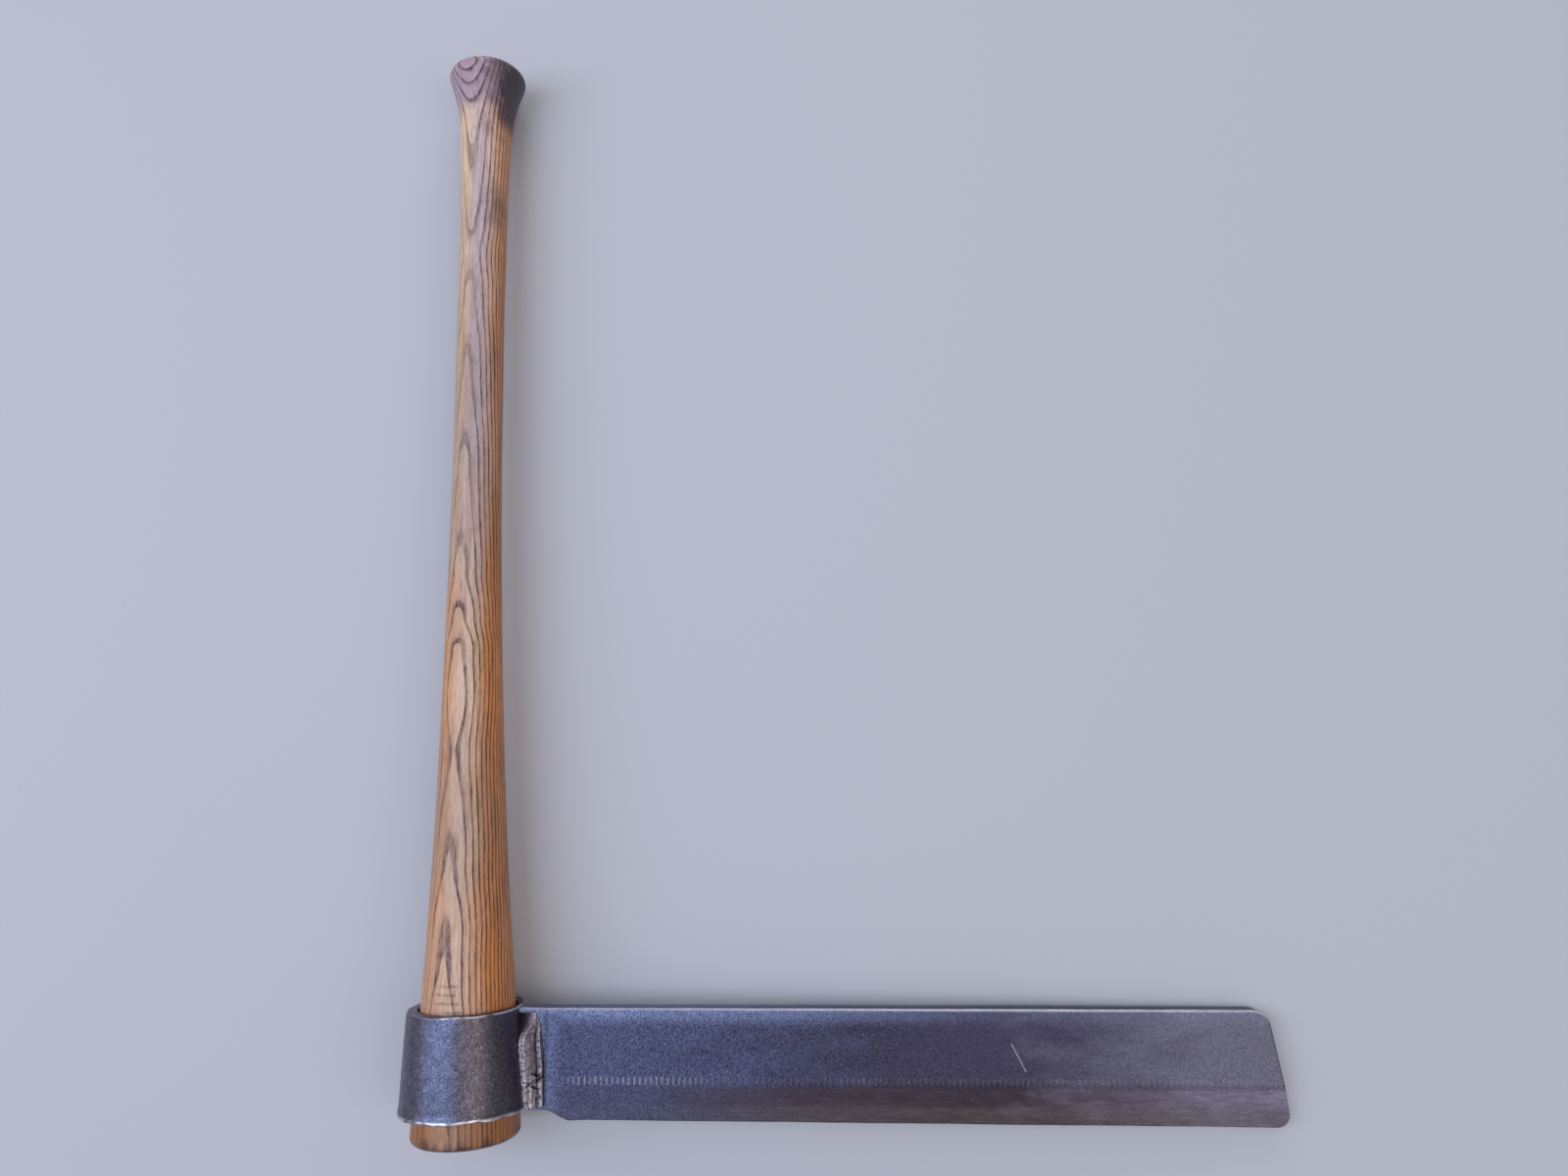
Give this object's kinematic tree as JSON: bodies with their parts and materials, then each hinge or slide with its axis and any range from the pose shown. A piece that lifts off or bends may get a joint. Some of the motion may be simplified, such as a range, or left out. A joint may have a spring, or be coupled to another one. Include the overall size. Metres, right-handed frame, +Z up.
{
  "type": "froe",
  "caption": "Splitting froe: a long bevelled steel blade standing out from a tapered eye on a drop-through ash handle with a knob.",
  "frame": {"origin": "on the ground under the middle of the tool's bounding box, the froe lying down on its eye, knob and blade tip", "axes": "+Y runs from the eye towards the handle's knob, +X out along the blade, +Z up from the ground"},
  "size_m": [0.4091, 0.5572, 0.0609],
  "materials": {
    "handle_wood": "torched and oiled ash, satin",
    "eye_steel": "dark forge scale, worn bright at the rims",
    "blade_steel": "hammered blue-grey forge scale, ground bevel, worn spine",
    "weld_steel": "rough weld bead"
  },
  "bodies": {
    "head": {"eye": "eye_steel", "blade": "blade_steel", "weld_front": "weld_steel", "weld_back": "weld_steel"},
    "handle": {"handle": "handle_wood"}
  },
  "joints": [
    {"name": "handle_slide", "type": "slide", "parent": "head", "child": "handle", "axis": [0, -0.9998, 0.0193], "range_m": [0, 0.56]}
  ]
}
